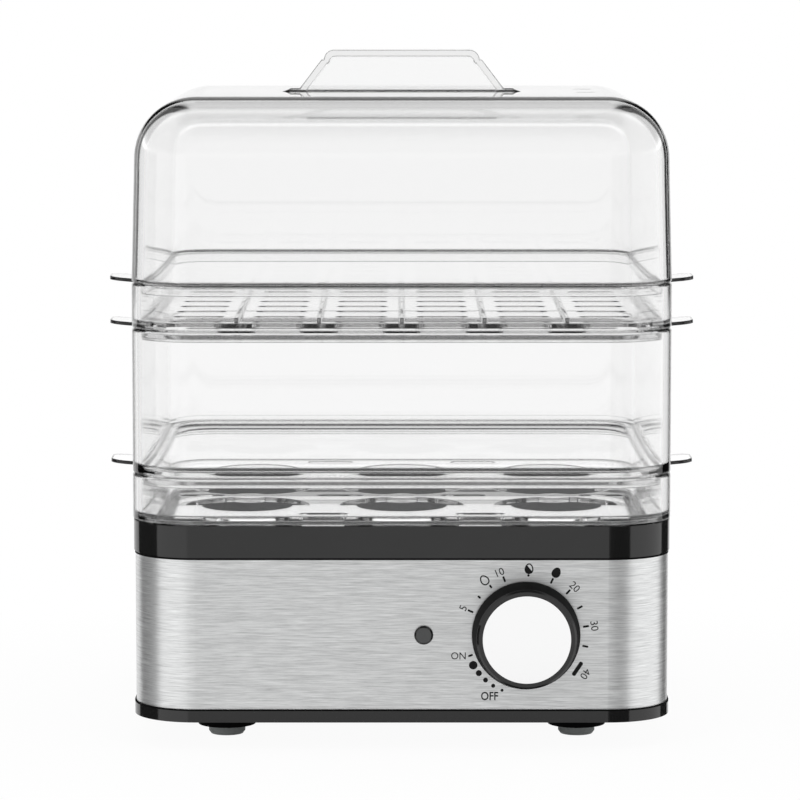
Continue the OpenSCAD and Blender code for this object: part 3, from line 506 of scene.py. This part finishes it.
for text, angle, radius_mm in (("5", 293.4, 27.2), ("10", 337.5, 27.3), ("20", 44.9, 27.3),
                               ("30", 82.4, 27.4), ("40", 123.5, 28.4)):
    print_text(text, at_dial(angle, radius_mm))
print_text("ON", Matrix.Translation((-26.8, -8.4, 0)), tall=2.9, wide=5.8)
print_text("OFF", Matrix.Translation((-14.4, -24.6, 0)), tall=3.4, wide=6.8, bold=0.014)

# %% [markdown]
# The finished print is turned up against the steel: its X stays, its Y becomes Z and its thickness points
# to the front.

# %% Stand the print on the steel
stand = Matrix.Translation(knob_axis) @ Matrix.Rotation(math.pi / 2, 4, "X") @ Matrix.Scale(MM, 4)
bmesh.ops.transform(dial, matrix=stand, verts=dial.verts)
bmesh.ops.recalc_face_normals(dial, faces=dial.faces)
print_mesh = bpy.data.meshes.new("dial_print")
dial.to_mesh(print_mesh)
dial.free()
dial_print = bpy.data.objects.new("dial_print", print_mesh)
scene.collection.objects.link(dial_print)
print("print spans", [round(d / MM, 1) for d in dial_print.dimensions], "mm")

# %% [markdown]
# Screen ink is a matt black. The mesh of the screen leaves it a little uneven.

# %% Ink
material, tree, place = start("black_screen_ink")
WEAVE_MM = 0.3
weave = add(tree, "TexNoise", {"Vector": place, "Scale": 1 / (WEAVE_MM * MM), "Detail": 2.0})
tone = add(tree, "MixRGB", {0: weave.outputs[0], 1: paint("#080808"), 2: paint("#161616")})
shader = add(tree, "BsdfPrincipled", {
    "Base Color": tone.outputs[0], "Roughness": 0.6, "Specular IOR Level": 0.2,
})
add(tree, "OutputMaterial", {"Surface": shader.outputs[0]})
print_mesh.materials.append(material)
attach(dial_print, "base")
print(material.name, "on", dial_print.name)

# %% [markdown]
# ## Studio
#
# The picture has a white ground with no horizon, so the floor is a very wide sheet that shows white to the
# camera. Near the cooker a share of it is plain paper, which takes the shadow, and that share fades out with
# distance so that no edge shows. Mirrors and clear plastic look through the sheet into the room below.

# %% Floor
FLOOR_M, FLOOR_DROP_MM = 200, 0.2
floor_bm = bmesh.new()
bmesh.ops.create_grid(floor_bm, x_segments=1, y_segments=1, size=FLOOR_M / 2)
bmesh.ops.translate(floor_bm, verts=floor_bm.verts, vec=(0, 0, -FLOOR_DROP_MM * MM))
floor_mesh = bpy.data.meshes.new("floor")
floor_bm.to_mesh(floor_mesh)
floor_bm.free()
floor = bpy.data.objects.new("floor", floor_mesh)
scene.collection.objects.link(floor)
floor.visible_glossy = floor.visible_transmission = False
print("floor", FLOOR_M, "m wide")

# %% [markdown]
# Light Path tells what kind of ray has reached a surface. Rays that end in the eye, straight or by way of a
# mirror or of clear plastic, see white. Light on its way about sees paper, so the white adds no light to the
# cooker.


# %% Paper
def seen_by_eye(tree):
    """1 for rays from the camera, from mirrors and from clear plastic, and 0 for light on its way about."""
    path = add(tree, "LightPath").outputs
    mirrored = add(tree, "Math", {0: path["Is Camera Ray"], 1: path["Is Glossy Ray"]}, operation="MAXIMUM")
    return add(tree, "Math", {0: mirrored.outputs[0], 1: path["Is Transmission Ray"]}, operation="MAXIMUM")


WHITE, SHADOW_SHARE, FADE_M = 1.0, 0.05, (0.13, 0.3)
material, tree, place = start("white_paper_floor")
away = add(tree, "VectorMath", {0: place}, operation="LENGTH")
plain = add(tree, "MapRange", {
    0: away.outputs["Value"], 1: FADE_M[0], 2: FADE_M[1], 3: 1 - SHADOW_SHARE, 4: 1.0,
})
share = add(tree, "Math", {0: seen_by_eye(tree).outputs[0], 1: plain.outputs[0]}, operation="MULTIPLY")
paper = add(tree, "BsdfDiffuse", {"Color": paint("#f6f6f6")})
bright = add(tree, "Emission", {"Color": (1, 1, 1, 1), "Strength": WHITE})
blend = add(tree, "MixShader", {0: share.outputs[0], 1: paper.outputs[0], 2: bright.outputs[0]})
add(tree, "OutputMaterial", {"Surface": blend.outputs[0]})
floor_mesh.materials.append(material)

# %% [markdown]
# The room is white too, but clear plastic in an all-white room has no edges at all. Product photographers
# stand black flags between the white screens, so that every rim and corner mirrors something dark. The world
# can hold such flags. They are laid out by compass direction, 0 towards the camera and positive to the right,
# and by height, the upward share of a direction, from -1 straight down to 1 straight up.

# %% Compass and height
world = bpy.data.worlds.new("room")
scene.world = world
world.use_nodes = True
tree = world.node_tree
tree.nodes.clear()
path = add(tree, "LightPath").outputs
heading = add(tree, "SeparateXYZ", {0: add(tree, "TexCoord").outputs["Generated"]}).outputs
front = add(tree, "Math", {0: heading["Y"], 1: -1.0}, operation="MULTIPLY")
compass = add(tree, "Math", {0: heading["X"], 1: front.outputs[0]}, operation="ARCTAN2")
turn = add(tree, "MapRange", {0: compass.outputs[0], 1: -math.pi, 2: math.pi}).outputs[0]
rise = add(tree, "MapRange", {0: heading["Z"], 1: -1.0, 2: 1.0}).outputs[0]

# %% [markdown]
# Mirrored light sees screens and flags round the room, in a belt that reaches from below the horizon to a
# little above it. One bright strip low in front makes the polished disc of the knob white, while the rough
# steel, which mirrors a wider part of the room, stays grey.

# %% What mirrors see
SCREENS = ((-180, 1.0), (-131, 0.02), (-76, 1.2), (-18, 0.64),
           (7.6, 0.02), (40.8, 1.2), (117, 0.02), (150, 1.0))
STRIP = ((-180, 0.0), (-18, 0.32), (7.6, 0.0))
STRIP_HIGH = ((-1, 0.0), (-0.192, 0.0), (-0.18, 1.0), (-0.09, 1.0), (-0.07, 0.0))
FOOT, HEAD = (-0.28, -0.26), (0.15, 0.165)
screens = add(tree, "ValToRGB", {0: turn}, stops=greys(SCREENS, -180, 180), between="CONSTANT")
strip = add(tree, "ValToRGB", {0: turn}, stops=greys(STRIP, -180, 180), between="CONSTANT")
strip_high = add(tree, "ValToRGB", {0: rise}, stops=greys(STRIP_HIGH, -1, 1))
extra = add(tree, "MixRGB", {0: 1.0, 1: strip.outputs[0], 2: strip_high.outputs[0]}, blend_type="MULTIPLY")
mirrored = add(tree, "MixRGB", {0: 1.0, 1: screens.outputs[0], 2: extra.outputs[0]}, blend_type="ADD")
above_foot = add(tree, "MapRange", {0: heading["Z"], 1: FOOT[0], 2: FOOT[1]})
below_head = add(tree, "MapRange", {0: heading["Z"], 1: HEAD[0], 2: HEAD[1], 3: 1.0, 4: 0.0})
flags = add(tree, "Math", {0: above_foot.outputs[0], 1: below_head.outputs[0]}, operation="MULTIPLY")

# %% [markdown]
# Light through clear plastic sees a white wall that is brightest just above the horizon and grey higher up,
# with a black slit at each side of the back. The rounded corners of the lid bend light into the slits, which
# draws the dark line down its edges. Light that has passed through two whole walls, with two surfaces each,
# doesn't see the slits, or the stack would look smoked from beside.

# %% What clear plastic sees
SLITS = ((-180, 1.0), (-170, 1.0), (-165, 0.03), (-150, 0.03), (-148, 1.0),
         (148, 1.0), (150, 0.03), (165, 0.03), (170, 1.0))
LEVELS = ((-1, 1.0), (0.1, 1.0), (0.115, 1.4), (0.155, 1.4), (0.17, 1.0), (0.28, 0.72))
SLIT_FOOT, SLIT_TRACE, SURFACES = (-0.088, -0.08), 0.2, 3.5
slits = add(tree, "ValToRGB", {0: turn}, stops=greys(SLITS, -180, 180))
levels = add(tree, "ValToRGB", {0: rise}, stops=greys(LEVELS, -1, 1))
high = add(tree, "MapRange", {0: heading["Z"], 1: SLIT_FOOT[0], 2: SLIT_FOOT[1], 3: SLIT_TRACE, 4: 1.0})
one_wall = add(tree, "Math", {0: path["Transmission Depth"], 1: SURFACES}, operation="LESS_THAN")
seen = add(tree, "Math", {0: high.outputs[0], 1: one_wall.outputs[0]}, operation="MULTIPLY")
through = add(tree, "MixRGB", {0: seen.outputs[0], 1: levels.outputs[0], 2: slits.outputs[0]},
              blend_type="MULTIPLY")

# %% [markdown]
# Light that has bounced inside a rim leaves it steeply, and sees a black patch overhead or underfoot. The
# camera itself sees plain white behind the cooker, and light that is not seen by the eye gets a plain, even
# room.

# %% Room
ROOM_LIGHT, PATCH, BOUNCES = 0.55, (0.86, 0.94), 0.5
PATCH_GREY = (0.03, 0.03, 0.03, 1)
not_clear = add(tree, "Math", {0: flags.outputs[0], 1: path["Is Transmission Ray"]}, operation="SUBTRACT",
                use_clamp=True)
walls = add(tree, "MixRGB", {0: not_clear.outputs[0], 1: through.outputs[0], 2: mirrored.outputs[0]})
steep = add(tree, "Math", {0: heading["Z"]}, operation="ABSOLUTE")
patch = add(tree, "MapRange", {0: steep.outputs[0], 1: PATCH[0], 2: PATCH[1]})
bounced = add(tree, "Math", {0: path["Glossy Depth"], 1: BOUNCES}, operation="GREATER_THAN")
dark = add(tree, "Math", {0: patch.outputs[0], 1: bounced.outputs[0]}, operation="MULTIPLY")
studio = add(tree, "MixRGB", {0: dark.outputs[0], 1: walls.outputs[0], 2: PATCH_GREY})
backdrop = add(tree, "MixRGB", {0: path["Is Camera Ray"], 1: studio.outputs[0], 2: (1, 1, 1, 1)})
quiet = add(tree, "Background", {"Color": (1, 1, 1, 1), "Strength": ROOM_LIGHT})
bright = add(tree, "Background", {"Color": backdrop.outputs[0], "Strength": WHITE})
blend = add(tree, "MixShader", {0: seen_by_eye(tree).outputs[0], 1: quiet.outputs[0], 2: bright.outputs[0]})
add(tree, "OutputWorld", {"Surface": blend.outputs[0]})
print("room with", len(tree.nodes), "nodes")

# %% [markdown]
# ## Lamps
#
# Two tall soft boxes at the sides light the plastic, the ink and the rubber, and one from above lights the
# deck and the pan. A soft box is an area lamp whose power follows from how bright its face should look.
# Mirrors and clear plastic don't see the boxes, because the screens of the room are there for them.

# %% Lamps
MIDDLE = Vector((0, 0, 0.13))


def soft_box(name, spot, wide, high, brightness):
    """An area lamp that faces the middle of the cooker, with sizes in metres."""
    lamp = bpy.data.lights.new(name, "AREA")
    lamp.shape = "RECTANGLE"
    lamp.size, lamp.size_y = wide, high
    lamp.energy = brightness * math.pi * wide * high
    holder = bpy.data.objects.new(name, lamp)
    scene.collection.objects.link(holder)
    holder.location = spot
    holder.visible_glossy = holder.visible_transmission = False
    holder.rotation_euler = (MIDDLE - holder.location).to_track_quat("-Z", "Y").to_euler()
    print(name, round(lamp.energy, 1), "W")


soft_box("left_box", (-1.7, -1.2, 0.7), 1.4, 1.6, 1.6)
soft_box("right_box", (2.0, -0.3, 0.7), 1.0, 1.6, 1.6)
soft_box("top_box", (0.0, -0.2, 2.2), 1.6, 1.6, 1.2)
